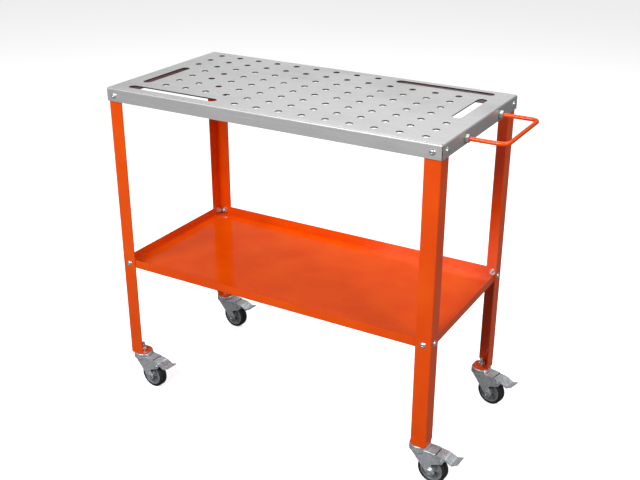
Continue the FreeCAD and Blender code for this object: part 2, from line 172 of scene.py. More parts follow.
def makeWorktopSteel():
    # cold-rolled steel sheet, belt-brushed along its length: soft streaks, and faint smudges from hands
    material, tree, coords, shader = newMaterial("worktopSteel")
    look = steelLook
    grain = noise(tree, coords, look["grainStretch"], look["grainSize"], 4, 0.7)
    streak = noise(tree, coords, (40, 1, 1), 9, 2)
    cloud = noise(tree, coords, (1.6, 1, 1), 140, 3)
    colour = ramp(tree, grain, [(0.25, look["dark"]), (0.7, look["light"])])
    smudged = spread(tree, cloud, 0.0, 0.3, 0.5, 0.75)
    colour = blendColour(tree, smudged, colour, linear(look["smudge"]))
    streaked = spread(tree, streak, 0.0, 0.25, 0.45, 0.7)
    colour = blendColour(tree, streaked, colour, linear(look["light"]))
    low, high = look["roughness"]
    rough = spread(tree, cloud, low, high)
    scratches = add(
        tree, "ShaderNodeTexWave",
        {
            "Vector": add(
                tree, "ShaderNodeMapping",
                {"Vector": coords, "Rotation": (0, 0, math.radians(83)), "Scale": (1, 1, 1)},
            ).outputs[0],
            "Scale": 9, "Distortion": 22, "Detail": 2, "Detail Scale": 1.5,
        },
        wave_type="BANDS", bands_direction="X",
    ).outputs["Fac"]
    fine = spread(tree, scratches, 0.0, 1.0, 0.985, 1.0)
    colour = blendColour(tree, spread(tree, scratches, 0.0, 0.16, 0.985, 1.0), colour, linear("#e6e7e8"))
    normal = bump(tree, grain, look["scratchDepth"], 0.5)
    normal = bump(tree, fine, 0.01, 0.3, normal)
    link(tree, shader, Base_Color=colour, Metallic=look["metal"], Roughness=rough, Normal=normal)
    return material


cutEdgeAndShadeLook = {
    # scale is the near-black of the oxide skin and of the painted shade inside the holes
    "scale": "#1b1b1d",
    "bright": "#3a3b3d",
    "stria": 0.9,  # mm between the drag lines of the cut
    "roughness": (0.4, 0.6),
}


def makeCutEdgeAndHoleShade():  # laser-cut steel edge with fine upright drag lines: a thin dark oxide skin, its near-black deepened into painted shade inside the holes
    material, tree, coords, shader = newMaterial("cutEdgeAndPaintedShade")
    look = cutEdgeAndShadeLook
    stria = noise(tree, coords, (1, 1, 12), look["stria"], 3)
    patch = noise(tree, coords, (1, 1, 1), 8, 2)
    colour = ramp(tree, stria, [(0.35, look["scale"]), (0.75, look["bright"])])
    low, high = look["roughness"]
    rough = spread(tree, patch, low, high)
    normal = bump(tree, stria, 0.08, 0.6)
    link(tree, shader, Base_Color=colour, Metallic=0.6, Roughness=rough, Normal=normal)
    return material


powderLook = {
    "base": "#ea5000",
    "light": "#ee5602",
    "dark": "#e44a00",
    "dust": "#ee8a52",
    "peelSize": 2.2,  # mm between the soft waves of the coat
    "peelDepth": 0.03,
    "roughness": (0.1, 0.22),
    "specular": 0.42,  # the coat's gloss is a little under that of clear plastic
}


def makePowderCoat():
    # gloss polyester powder coat baked on steel: clear reflections broken by fine orange peel,
    # with faint rub marks
    material, tree, coords, shader = newMaterial("orangePowderCoat")
    look = powderLook
    peel = noise(tree, coords, (1, 1, 1), look["peelSize"], 1)
    cloud = noise(tree, coords, (1, 1, 1), 90, 3)
    rub = noise(tree, coords, (1, 1, 4), 16, 5, 0.7)
    colour = ramp(tree, cloud, [(0.3, look["dark"]), (0.5, look["base"]), (0.72, look["light"])])
    dusty = spread(tree, rub, 0.0, 0.14, 0.62, 0.8)
    colour = blendColour(tree, dusty, colour, linear(look["dust"]))
    low, high = look["roughness"]
    rough = spread(tree, rub, low, high, 0.4, 0.75)
    normal = bump(tree, peel, look["peelDepth"], 0.6)
    link(
        tree, shader, Base_Color=colour, Metallic=0.0, IOR=1.5, Roughness=rough, Normal=normal,
        Specular_IOR_Level=look["specular"],
    )
    return material


zincLooks = {
    "bright_zinc": {
        "dark": "#c0c4c8", "light": "#e6e9eb", "stain": "#a3a8ac", "roughness": (0.2, 0.34),
        "mottle": 2.5, "pit": 0.02, "haze": 0.2,
    },
    "yellow_zinc": {
        "dark": "#98965c", "light": "#c9c78e", "stain": "#8a9a63", "roughness": (0.22, 0.4),
        "mottle": 3.0, "pit": 0.02, "haze": 0.2,
    },
    "caster_zinc": {
        "dark": "#b4bdc4", "light": "#eaeef1", "stain": "#8f98a0", "roughness": (0.18, 0.36),
        "mottle": 5.0, "pit": 0.05, "haze": 0.38,
    },
    "bearing_steel": {
        "dark": "#9c9ea0", "light": "#cfd1d2", "stain": "#6d6a60", "roughness": (0.08, 0.22),
        "mottle": 2.0, "pit": 0.01, "haze": 0.0,
    },
}


def makeZinc(name):
    # electroplated zinc on pressed or cold-headed steel: cloudy metal under a thin pale chromate haze
    look = zincLooks[name]
    material, tree, coords, shader = newMaterial(name)
    mottle = noise(tree, coords, (1, 1, 1), look["mottle"], 3, 0.6)
    cloud = noise(tree, coords, (1, 1, 1.5), look["mottle"] * 5, 2)
    pit = noise(tree, coords, (1, 1, 1), 0.6, 2)
    colour = ramp(tree, mottle, [(0.3, look["dark"]), (0.7, look["light"])])
    stained = spread(tree, cloud, 0.0, 0.5, 0.55, 0.75)
    colour = blendColour(tree, stained, colour, linear(look["stain"]))
    low, high = look["roughness"]
    rough = spread(tree, cloud, low, high)
    normal = bump(tree, pit, look["pit"], 0.5)
    link(tree, shader, Base_Color=colour, Metallic=1 - look["haze"], Roughness=rough, Normal=normal)
    return material


rubberLook = {
    "base": "#161617",
    "worn": "#2a2a2b",
    "dust": "#5b5853",
    "roughness": (0.42, 0.68),
}


def makeRubber():
    # moulded black rubber tyre: satin, with fine moulding texture and pale dust in its low spots
    material, tree, coords, shader = newMaterial("tyreRubber")
    look = rubberLook
    grain = noise(tree, coords, (1, 1, 1), 0.8, 3)
    patch = noise(tree, coords, (1, 1, 1), 11, 4, 0.65)
    colour = ramp(tree, patch, [(0.35, look["base"]), (0.7, look["worn"])])
    dusty = spread(tree, patch, 0.0, 0.28, 0.58, 0.8)
    colour = blendColour(tree, dusty, colour, linear(look["dust"]))
    low, high = look["roughness"]
    rough = spread(tree, patch, low, high)
    normal = bump(tree, grain, 0.06, 0.6)
    link(tree, shader, Base_Color=colour, Metallic=0.0, IOR=1.52, Roughness=rough, Normal=normal)
    return material


plasticLook = {
    "base": "#74787b",
    "light": "#8d9194",
    "grime": "#4c4e50",
    "roughness": (0.34, 0.5),
}


def makePlastic():
    # injection-moulded nylon hub: even grey with faint flow marks, a fine moulded grain and some grime
    material, tree, coords, shader = newMaterial("hubPlastic")
    look = plasticLook
    grain = noise(tree, coords, (1, 1, 1), 0.5, 2)
    flow = noise(tree, coords, (1, 3, 1), 14, 3)
    colour = ramp(tree, flow, [(0.3, look["base"]), (0.7, look["light"])])
    dirty = spread(tree, flow, 0.35, 0.0, 0.28, 0.42)
    colour = blendColour(tree, dirty, colour, linear(look["grime"]))
    low, high = look["roughness"]
    rough = spread(tree, flow, low, high)
    normal = bump(tree, grain, 0.02, 0.5)
    link(tree, shader, Base_Color=colour, Metallic=0.0, IOR=1.53, Roughness=rough, Normal=normal)
    return material


materials = {
    "worktop_steel": makeWorktopSteel(),
    "orange_powder_coat": makePowderCoat(),
    "tyre_rubber": makeRubber(),
    "hub_plastic": makePlastic(),
}
for zinc in zincLooks:
    materials[zinc] = makeZinc(zinc)
for nodeObject in frame["nodes"].values():
    for nodeSlot in nodeObject.material_slots:
        nodeSlot.material = materials[nodeSlot.material.name.split(".")[0]]
print("materials made")


# Mesh helpers: pieces are drawn in millimetres and scaled when they are finished

def boxOf(node):  # lowest and highest corner of a node, in millimetres
    return [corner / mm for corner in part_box(node)]


def faceOut(bm):  # turn every face outwards
    bmesh.ops.recalc_face_normals(bm, faces=bm.faces)


def finishPiece(bm, name, slotName, body, replaced, sharp=32):
    # scale a drawn shape to metres, mark its sharp edges and hand it over as a piece
    bmesh.ops.remove_doubles(bm, verts=bm.verts, dist=0.002)
    faceOut(bm)
    for edge in bm.edges:
        edge.smooth = len(edge.link_faces) != 2 or edge.calc_face_angle() < math.radians(sharp)
    for face in bm.faces:
        face.smooth = True
    bmesh.ops.scale(bm, vec=(mm, mm, mm), verts=bm.verts)
    mesh = bpy.data.meshes.new(name)
    bm.to_mesh(mesh)
    bm.free()
    piece = bpy.data.objects.new(name, mesh)
    bpy.context.scene.collection.objects.link(piece)
    mesh.materials.append(materials[slotName])
    weighted = piece.modifiers.new("weighted", "WEIGHTED_NORMAL")
    weighted.keep_sharp = True
    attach(piece, body)
    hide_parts(*replaced)
    return piece


def vertsOf(made):  # the vertices among the elements that an operator made
    return [g for g in made if isinstance(g, bmesh.types.BMVert)]


def asMesh(bm):
    mesh = bpy.data.meshes.new("part")
    bm.to_mesh(mesh)
    bm.free()
    return mesh


def place(bm, source, matrix):  # add a copy of a mesh at the place of the matrix
    moved = source.copy()
    moved.transform(matrix)
    bm.from_mesh(moved)
    bpy.data.meshes.remove(moved)


def aim(start, direction):  # matrix that lays the Z axis along the direction, from the start
    direction = Vector(direction)
    return Matrix.Translation(start) @ up.rotation_difference(direction).to_matrix().to_4x4()


def lathe(outline, steps=40, closed=True):  # spin an outline of (radius, height) round the Z axis
    bm = bmesh.new()
    verts = [bm.verts.new((r, 0, z)) for r, z in outline]
    pairs = list(zip(verts, verts[1:]))
    if closed:
        pairs.append((verts[-1], verts[0]))
    edges = [bm.edges.new(pair) for pair in pairs]
    bmesh.ops.spin(
        bm, geom=verts + edges, cent=(0, 0, 0), axis=up, dvec=(0, 0, 0),
        angle=math.tau, steps=steps, use_merge=True,
    )
    bmesh.ops.remove_doubles(bm, verts=bm.verts, dist=0.001)
    faceOut(bm)
    return bm


def hexed(bm, flats, beyond, low, high):
    # pull the rims outside a radius to a hexagon, with the corners chamfered by 30 degrees
    slope = 0.577  # tangent of the chamfer
    for vert in bm.verts:
        radius = math.hypot(vert.co.x, vert.co.y)
        if radius > beyond + 0.01 and low - 0.01 <= vert.co.z <= high + 0.01:
            angle = math.degrees(math.atan2(vert.co.y, vert.co.x)) % 60 - 30
            reach = flats / 2 / math.cos(math.radians(angle))
            vert.co.x *= reach / radius
            vert.co.y *= reach / radius
            drop = (reach - beyond) * slope
            vert.co.z += -drop if vert.co.z > (low + high) / 2 else drop


def hexNut(flats, height, bore):
    flat = flats / 2 * 0.96  # radius of the round flat that the corner chamfers leave
    chamfer = 0.6
    outline = [
        (bore, chamfer), (bore + chamfer, 0), (flat, 0), (flats, 0),
        (flats, height), (flat, height), (bore + chamfer, height), (bore, height - chamfer),
    ]
    bm = lathe(outline, 36)
    hexed(bm, flats, flat, 0, height)
    return asMesh(bm)


def washer(outer, inner, height):
    r = 0.25
    return asMesh(lathe([
        (inner, 0), (outer - r, 0), (outer, r), (outer, height - r), (outer - r, height), (inner, height),
    ], 40))


def outlinePlate(points, y0, y1, edge=0.5):
    # plate with an outline of (x, z) from y0 to y1, its rims rounded
    bm = bmesh.new()
    verts = [bm.verts.new((x, y0, z)) for x, z in points]
    face = bm.faces.new(verts)
    made = bmesh.ops.extrude_face_region(bm, geom=[face])["geom"]
    moved = vertsOf(made)
    bmesh.ops.translate(bm, vec=(0, y1 - y0, 0), verts=moved)
    faceOut(bm)
    roundEdges(bm, edge, 55)
    return asMesh(bm)


def roundEdges(bm, offset, over=50, segments=2, chosen=None):
    # round every edge sharper than an angle in degrees
    edges = [
        e for e in bm.edges
        if len(e.link_faces) == 2 and e.calc_face_angle() > math.radians(over)
        and (chosen is None or chosen(e))
    ]
    bmesh.ops.bevel(
        bm, geom=edges, offset=offset, segments=segments, affect="EDGES",
        profile=0.5, material=-1, clamp_overlap=True,
    )


def thread(radius, pitch, length, steps=20):
    # threaded rod along +Z, a true helix cut flat at both ends
    bm = bmesh.new()
    verts = []
    for i in range(int(length / pitch) + 3):
        verts.append(bm.verts.new((radius, 0, (i - 1) * pitch)))
        verts.append(bm.verts.new((radius - 0.55 * pitch, 0, (i - 0.5) * pitch)))
    edges = [bm.edges.new(pair) for pair in zip(verts, verts[1:])]
    bmesh.ops.spin(
        bm, geom=verts + edges, cent=(0, 0, 0), axis=up, dvec=(0, 0, pitch / steps),
        angle=math.tau, steps=steps, use_merge=False,
    )
    bmesh.ops.remove_doubles(bm, verts=bm.verts, dist=0.01)
    for height, side in ((0, -1), (length, 1)):
        geom = bm.verts[:] + bm.edges[:] + bm.faces[:]
        bmesh.ops.bisect_plane(
            bm, geom=geom, plane_co=(0, 0, height), plane_no=(0, 0, side), clear_outer=True,
        )
        rim = [e for e in bm.edges if e.is_boundary and abs(e.verts[0].co.z - height) < 0.01]
        bmesh.ops.holes_fill(bm, edges=rim, sides=0)
    return asMesh(bm)


# Folded sheets: the worktop and the tray

def boundaryEdges(bm):
    return [e for e in bm.edges if e.is_boundary]


def foldSkirt(bm, verts, out, along, radius, depth, gap):
    # carry one straight boundary edge round a bend and down, its ends following the corner mitres
    edge = bm.edges.get(verts)
    start = [(v.co.copy(), 1 if v.co.dot(along) > 0 else -1) for v in verts]
    places = []
    for i in range(1, 7):
        a = math.radians(15 * i)
        places.append((radius * math.sin(a), radius * (1 - math.cos(a))))
    places.append((radius, depth))
    for reach, drop in places:
        made = bmesh.ops.extrude_edge_only(bm, edges=[edge])["geom"]
        fresh = vertsOf(made)
        for vert in fresh:
            side = 1 if vert.co.dot(along) > 0 else -1
            base = next(s for s in start if s[1] == side)[0]
            vert.co = base + out * reach + along * side * (reach - gap) - up * drop
        edge = bm.edges.get(fresh)


def foldedSheet(halfX, halfY, depth, sheet, bend, gap, holes=()):
    # Sheet with its top at z = 0 and four skirts folded down.
    # holes holds (x, y, radius, reachX, reachY), where the reaches draw a hole out to a slot.
    bm = bmesh.new()
    flatX = halfX - bend
    flatY = halfY - bend
    frameMatrix = Matrix.Diagonal((flatX, flatY, 1, 1))
    made = bmesh.ops.create_grid(bm, x_segments=1, y_segments=1, size=1, matrix=frameMatrix)
    corners = made["verts"]
    bmesh.ops.delete(bm, geom=bm.faces[:], context="FACES_ONLY")
    deburr = 0.45
    centres = {}
    for x, y, radius, reachX, reachY in holes:
        sides = 40
        spot = Matrix.Translation((x, y, 0)) @ Matrix.Rotation(math.pi / sides, 4, "Z")
        rim = bmesh.ops.create_circle(
            bm, cap_ends=False, segments=sides, radius=radius + deburr, matrix=spot,
        )["verts"]
        for vert in rim:
            shift = Vector((
                math.copysign(reachX, vert.co.x - x), math.copysign(reachY, vert.co.y - y), 0,
            ))
            centres[vert] = (Vector((x, y, 0)) + shift, radius)
            vert.co += shift
    bmesh.ops.triangle_fill(bm, edges=bm.edges[:], use_beauty=True, use_dissolve=False, normal=up)
    topFaces = bm.faces[:]
    rims = [e for e in boundaryEdges(bm) if e.verts[0] in centres and e.verts[1] in centres]

    geom = list({v for f in topFaces for v in f.verts}) + list({e for f in topFaces for e in f.edges})
    copied = bmesh.ops.duplicate(bm, geom=geom + topFaces)["geom"]
    low = vertsOf(copied)
    bmesh.ops.translate(bm, vec=(0, 0, -sheet), verts=low)
    lowCorners = [v for v in low if abs(abs(v.co.x) - flatX) < 0.01 and abs(abs(v.co.y) - flatY) < 0.01]

    edges = rims
    for grow, drop in ((0, deburr), (0, sheet - deburr), (deburr, sheet)):
        if not edges:
            break
        fresh = bmesh.ops.extrude_edge_only(bm, edges=edges)["geom"]
        ring = set(vertsOf(fresh))
        for vert in ring:
            old = next(e.other_vert(vert) for e in vert.link_edges if e.other_vert(vert) not in ring)
            centre, radius = centres[old]
            centres[vert] = (centre, radius)
            arm = Vector((old.co.x - centre.x, old.co.y - centre.y, 0)).normalized()
            vert.co = centre + arm * (radius + grow) - up * drop
        edges = [
            g for g in fresh if isinstance(g, bmesh.types.BMEdge)
            and abs(g.verts[0].co.z + drop) < 0.01 and abs(g.verts[1].co.z + drop) < 0.01
        ]
    for points, radius, level in ((corners, bend, 0), (lowCorners, bend - sheet, sheet)):
        for out in ((1, 0, 0), (-1, 0, 0), (0, 1, 0), (0, -1, 0)):
            out = Vector(out)
            along = Vector((abs(out.y), abs(out.x), 0))
            pair = [v for v in points if v.co.dot(out) > 0]
            foldSkirt(bm, pair, out, along, radius, depth - level, gap)
    bmesh.ops.remove_doubles(bm, verts=bm.verts, dist=0.003)
    bmesh.ops.bridge_loops(bm, edges=boundaryEdges(bm))
    faceOut(bm)
    onRim = depth - 0.01
    roundEdges(
        bm, 0.4, 60,
        chosen=lambda e: all(v.co.z < -onRim for v in e.verts) or all(
            abs(v.co.x) > flatX - 0.1 and abs(v.co.y) > flatY - 0.1 and v.co.z < -bend for v in e.verts
        ),
    )
    return bm


worktopShape = {
    "sheet": 3.0,
    "bend": 5.0,
    "seam": 2.1,
    "holeRadius": 8.0,
    "columns": 14,
    "rows": 8,
    "pitchX": 61.8,
    "pitchY": 55.0,
    "slotWidth": 23.0,
    "longSlot": 264.0,
    "shortSlot": 178.0,
}
tableLow, tableHigh = boxOf("worktop")
tableMiddle = Vector(((tableLow.x + tableHigh.x) / 2, 0, tableHigh.z))
halfX = (tableHigh.x - tableLow.x) / 2
halfY = (tableHigh.y - tableLow.y) / 2


def worktopHoles():
    shape = worktopShape
    columns, rows = shape["columns"], shape["rows"]
    holes = []
    for column in range(columns):
        for row in range(rows):
            c, r = (column, row) if row < rows / 2 else (columns - 1 - column, rows - 1 - row)
            longSlot = r == 0 and c >= columns - 5
            endSlot = (c == columns - 1 and r > 0) or (c == 0 and r == rows / 2 - 1)
            if not longSlot and not endSlot:
                x = (column - (columns - 1) / 2) * shape["pitchX"]
                y = ((rows - 1) / 2 - row) * shape["pitchY"]
                holes.append((x, y, shape["holeRadius"], 0, 0))
    radius = shape["slotWidth"] / 2
    for side in (1, -1):
        x = (columns / 2 - 2.5) * shape["pitchX"] * side
        y = (rows - 1) / 2 * shape["pitchY"] * side
        holes.append((x, y, radius, shape["longSlot"] / 2 - radius, 0))
        x = (columns - 1) / 2 * shape["pitchX"] * side
        y = shape["pitchY"] * side
        holes.append((x, y, radius, 0, shape["shortSlot"] / 2 - radius))
    return holes


sheetMesh = foldedSheet(
    halfX, halfY, tableHigh.z - tableLow.z, worktopShape["sheet"], worktopShape["bend"],
    worktopShape["seam"], worktopHoles(),
)
bmesh.ops.translate(sheetMesh, vec=tableMiddle, verts=sheetMesh.verts)
worktopSheet = finishPiece(sheetMesh, "worktopSheet", "worktop_steel", "frame", ["worktop"])
# the dark edge colour goes on the hole walls and on the chamfers round them, as painted shade that widens
# the dark crescents seen in the holes
worktopSheet.data.materials.append(makeCutEdgeAndHoleShade())
insideX = (halfX - 2 * worktopShape["bend"]) * mm
insideY = (halfY - 2 * worktopShape["bend"]) * mm
for face in worktopSheet.data.polygons:
    spot = face.center - tableMiddle * mm
    if abs(face.normal.z) < 0.9 and abs(spot.x) < insideX and abs(spot.y) < insideY:
        face.material_index = 1

trayShape = {"sheet": 1.5, "bend": 3.0, "seam": 2.1}
trayLow, trayHigh = [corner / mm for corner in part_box("lower_tray")]
trayMesh = foldedSheet(
    (trayHigh.x - trayLow.x) / 2, (trayHigh.y - trayLow.y) / 2, trayHigh.z - trayLow.z,
    trayShape["sheet"], trayShape["bend"], trayShape["seam"],
)
bmesh.ops.rotate(trayMesh, cent=(0, 0, 0), matrix=Matrix.Rotation(math.pi, 3, "X"), verts=trayMesh.verts)
bmesh.ops.translate(trayMesh, vec=(tableMiddle.x, 0, trayLow.z), verts=trayMesh.verts)
finishPiece(trayMesh, "traySheet", "orange_powder_coat", "frame", ["lower_tray"])
print("worktop and tray made")


# Angle legs

legShape = {
    "flange": 40.0,
    "steel": 3.0,
    "bend": 4.0,
    "foot": 46.0,
    "footClip": 12.0,
    "footSideClip": 9.0,
    "clipAcross": 7.0,
    "clipUp": 11.0,
    "weld": 1.7,
}
cornerSides = {
    "front_left": (-1, -1), "front_right": (1, -1), "back_left": (-1, 1), "back_right": (1, 1),
}


def legMesh(low, high):
    # angle with its outer corner on the Z axis and its flanges along +X and +Y, and the foot plate
    shape = legShape
    flange, bend, steel = shape["flange"], shape["bend"], shape["steel"]
    bm = bmesh.new()
    foot = bm.verts.new((flange, 0, low))
    head = bmesh.ops.extrude_vert_indiv(bm, verts=[foot])["verts"]
    bmesh.ops.translate(bm, vec=(0, 0, high - low), verts=head)
    edge = bm.edges[:]
    for vec in ((bend - flange, 0, 0), None, (0, flange - bend, 0)):
        if vec:
            made = bmesh.ops.extrude_edge_only(bm, edges=edge)["geom"]
            bmesh.ops.translate(bm, vec=vec, verts=vertsOf(made))
            last = vertsOf(made)
        else:
            made = bmesh.ops.spin(
                bm, geom=list(edge[0].verts) + edge, cent=(bend, bend, 0), axis=up, dvec=(0, 0, 0),
                angle=-math.pi / 2, steps=6, use_merge=False,
            )["geom_last"]
            last = vertsOf(made)
        edge = [e for e in bm.edges if e.verts[0] in last and e.verts[1] in last]
    across, rise = shape["clipAcross"], shape["clipUp"]
    for spot, normal in (
        ((flange, 0, low + rise), (rise, 0, -across)), ((0, flange, low + rise), (0, rise, -across)),
    ):
        geom = bm.verts[:] + bm.edges[:] + bm.faces[:]
        bmesh.ops.bisect_plane(bm, geom=geom, plane_co=spot, plane_no=normal, clear_outer=True)
    faceOut(bm)
    faceNormal = max(bm.faces, key=lambda f: f.calc_area()).normal
    if faceNormal.x + faceNormal.y > 0:
        bmesh.ops.reverse_faces(bm, faces=bm.faces)
    bmesh.ops.solidify(bm, geom=bm.faces[:], thickness=steel)
    if min(v.co.x for v in bm.verts) < -0.5:
        bmesh.ops.translate(bm, vec=(steel, steel, 0), verts=bm.verts)
    faceOut(bm)
    roundEdges(bm, 0.5, 60)

    plate = bmesh.new()
    half = (shape["foot"] - 1) / 2
    middle = Matrix.Translation((1 + half, 1 + half, low))
    bmesh.ops.create_grid(plate, x_segments=1, y_segments=1, size=half, matrix=middle)
    inner = max(plate.verts, key=lambda v: v.co.x + v.co.y)
    sides = [v for v in plate.verts if v != inner and v.co.x + v.co.y > shape["foot"]]
    for corners, clip in (([inner], shape["footClip"]), (sides, shape["footSideClip"])):
        bmesh.ops.bevel(
            plate, geom=corners, offset=clip, segments=1, affect="VERTICES", profile=0.5, material=-1,
        )
    made = bmesh.ops.extrude_face_region(plate, geom=plate.faces[:])["geom"]
    bmesh.ops.translate(plate, vec=(0, 0, steel), verts=vertsOf(made))
    faceOut(plate)
    roundEdges(plate, 0.5, 40)
    place(bm, asMesh(plate), Matrix.Identity(4))

    bead = bmesh.new()
    bmesh.ops.create_icosphere(bead, subdivisions=2, radius=shape["weld"])
    bead = asMesh(bead)
    squash = Matrix.Diagonal((1.0, 1.0, 0.8, 1))
    run = 13
    for i in range(run):
        along = steel + 2 + i * (flange - steel - 10) / (run - 1)
        for x, y in ((along, steel), (steel, along)):
            place(bm, bead, Matrix.Translation((x, y, low + steel)) @ squash)
    return asMesh(bm)


for corner, (sideX, sideY) in cornerSides.items():
    legLow, legHigh = boxOf(f"{corner}_leg")
    made = bmesh.new()
    edgeX = legLow.x if sideX < 0 else legHigh.x
    edgeY = legLow.y if sideY < 0 else legHigh.y
    mirrored = Matrix.Translation((edgeX, edgeY, 0)) @ Matrix.Diagonal((-sideX, -sideY, 1, 1))
    place(made, legMesh(legLow.z, legHigh.z), mirrored)
    finishPiece(made, f"{corner}_angleLeg", "orange_powder_coat", "frame", [f"{corner}_leg"])
print("legs made")


# Push handle

handleShape = {
    "radius": 5.0,
    "bend": 18.0,
    "studPlay": 0.05,
    "pitch": 1.5,
    "nutFlats": 17.0,
    "nutHeight": 8.0,
    "washerPlay": 0.25,
}
handleLow, handleHigh = boxOf("push_handle")
skirtX = tableHigh.x
handleZ = (handleLow.z + handleHigh.z) / 2
handleY = handleHigh.y - handleShape["radius"]
washerLow, washerHigh = boxOf("handle_washers")
washerThick = washerHigh.x - skirtX
barStart = skirtX + washerThick + handleShape["nutHeight"]


def handleMesh():
    shape = handleShape
    bm = bmesh.new()
    bend = shape["bend"]
    start = aim((barStart, -handleY, handleZ), (1, 0, 0))
    bmesh.ops.create_circle(bm, cap_ends=True, segments=24, radius=shape["radius"], matrix=start)
    edges = bm.edges[:]
    out = handleHigh.x - shape["radius"]
    runs = [
        (Vector((out - bend - barStart, 0, 0)), Vector((out - bend, -handleY + bend, handleZ))),
        (Vector((0, 2 * (handleY - bend), 0)), Vector((out - bend, handleY - bend, handleZ))),
        (Vector((barStart - out + bend, 0, 0)), None),
    ]
    for run, centre in runs:
        made = bmesh.ops.extrude_edge_only(bm, edges=edges)["geom"]
        verts = vertsOf(made)
        bmesh.ops.translate(bm, vec=run, verts=verts)
        edges = [e for e in bm.edges if e.verts[0] in set(verts) and e.verts[1] in set(verts)]
        if centre is not None:
            made = bmesh.ops.spin(
                bm, geom=verts + edges, cent=centre, axis=up, dvec=(0, 0, 0), angle=math.pi / 2,
                steps=10, use_merge=False,
            )["geom_last"]
            verts = set(vertsOf(made))
            edges = [e for e in bm.edges if e.verts[0] in verts and e.verts[1] in verts]
    bmesh.ops.holes_fill(bm, edges=edges, sides=0)
    faceOut(bm)
    roundEdges(bm, 0.5, 60)
    stud = thread(shape["radius"] - shape["studPlay"], shape["pitch"], barStart - handleLow.x)
    for side in (-1, 1):
        place(bm, stud, aim((handleLow.x, side * handleY, handleZ), (1, 0, 0)))
    return bm


finishPiece(handleMesh(), "handleBar", "orange_powder_coat", "frame", ["push_handle"])
nuts = bmesh.new()
washers = bmesh.new()
handleNut = hexNut(handleShape["nutFlats"], handleShape["nutHeight"], handleShape["radius"])
handleWasher = washer(
    (washerHigh.z - washerLow.z) / 2, handleShape["radius"] + handleShape["washerPlay"], washerThick,
)
innerX = skirtX - worktopShape["sheet"]
for side in (-1, 1):
    for start, way in ((skirtX, 1), (innerX, -1)):
        place(washers, handleWasher, aim((start, side * handleY, handleZ), (way, 0, 0)))
        place(nuts, handleNut, aim((start + way * washerThick, side * handleY, handleZ), (way, 0, 0)))
finishPiece(nuts, "handleNuts", "bright_zinc", "frame", ["handle_nuts"])
finishPiece(washers, "handleWashers", "yellow_zinc", "frame", ["handle_washers"])
print("handle made")


# Bolts, washers and nuts of the frame

boltShape = {
    "inset": 20.5,  # from the leg's outer faces
    "skirtDrop": 19.0,  # from the worktop's face
    "radius": 4.0, "length": 16.0, "pitch": 1.25,
    "headRadius": 8.0, "headHeight": 4.4,
    "crown": 3.6,  # radius of the flat round the socket
    "socket": 5.0, "socketRound": 2.95, "socketDepth": 2.5,
    "nutFlats": 13.0, "nutHeight": 6.5,
    "washerRadius": 8.0, "washerHeight": 1.6, "washerPlay": 0.25,
    "turn": 17,  # degrees from one bolt's socket to the next one's
}


def boltMesh():  # button head with a hexagon socket above z = 0, threaded shank below
    shape = boltShape
    rim = shape["headRadius"]
    height = shape["headHeight"]
    crown = shape["crown"]
    dome = (crown ** 2 + height ** 2 - rim ** 2) / (2 * height)
    ball = math.hypot(rim, dome)
    start = math.asin(-dome / ball) if dome < 0 else -math.asin(dome / ball)
    end = math.acos(crown / ball)
    outline = [(0, 0), (rim - 0.2, 0)]
    for i in range(9):
        angle = start + (end - start) * i / 8
        outline.append((ball * math.cos(angle), dome + ball * math.sin(angle)))
    bottom = height - shape["socketDepth"]
    socket = shape["socketRound"]
    outline += [(socket + 0.05, height), (socket, height - 0.15), (socket, bottom), (0, bottom - 0.6)]
    bm = lathe(outline, 36, closed=False)
    for vert in bm.verts:
        radius = math.hypot(vert.co.x, vert.co.y)
        if abs(radius - socket) < 0.03:
            angle = math.degrees(math.atan2(vert.co.y, vert.co.x)) % 60 - 30
            reach = shape["socket"] / 2 / math.cos(math.radians(angle))
            vert.co.x *= reach / radius
            vert.co.y *= reach / radius
    shank = thread(shape["radius"] - 0.02, shape["pitch"], shape["length"], 16)
    place(bm, shank, aim((0, 0, 0), (0, 0, -1)))
    return asMesh(bm)


boltSource = boltMesh()
boltNut = hexNut(boltShape["nutFlats"], boltShape["nutHeight"], boltShape["radius"])
boltWasher = washer(
    boltShape["washerRadius"], boltShape["radius"] + boltShape["washerPlay"], boltShape["washerHeight"],
)
bolts, washers, nuts = bmesh.new(), bmesh.new(), bmesh.new()
turnStep = 0
for corner, (sideX, sideY) in cornerSides.items():
    legLow, legHigh = boxOf(f"{corner}_leg")
    faceX = legLow.x if sideX < 0 else legHigh.x
    faceY = legLow.y if sideY < 0 else legHigh.y
    x = faceX - sideX * boltShape["inset"]
    y = faceY - sideY * boltShape["inset"]
    skirtZ = tableHigh.z - boltShape["skirtDrop"]
    trayZ = (trayLow.z + trayHigh.z) / 2
    topGrip = worktopShape["sheet"] + legShape["steel"]
    trayGrip = legShape["steel"] + trayShape["sheet"]
    outerX = tableMiddle.x + sideX * halfX
    stacks = [
        ((x, sideY * halfY, skirtZ), (0, sideY, 0), topGrip),
        ((outerX, y, skirtZ), (sideX, 0, 0), topGrip),
        ((x, faceY, trayZ), (0, sideY, 0), trayGrip),
        ((faceX, y, trayZ), (sideX, 0, 0), trayGrip),
    ]
    for start, out, grip in stacks:
        turnStep += boltShape["turn"]
        twist = Matrix.Rotation(math.radians(turnStep), 4, "Z")
        out = Vector(out)
        face = Vector(start) - out * grip
        place(bolts, boltSource, aim(start, out) @ twist)
        place(washers, boltWasher, aim(face, -out))
        place(nuts, boltNut, aim(face - out * boltShape["washerHeight"], -out))
finishPiece(bolts, "frameBolts", "bright_zinc", "frame", ["frame_bolts"])
finishPiece(washers, "frameWashers", "bright_zinc", "frame", ["frame_washers"])
finishPiece(nuts, "frameNuts", "bright_zinc", "frame", ["frame_nuts"])
print("fasteners made")


# Casters, drawn in their own frame: the stem along Z at the origin and the wheel trailing towards +X

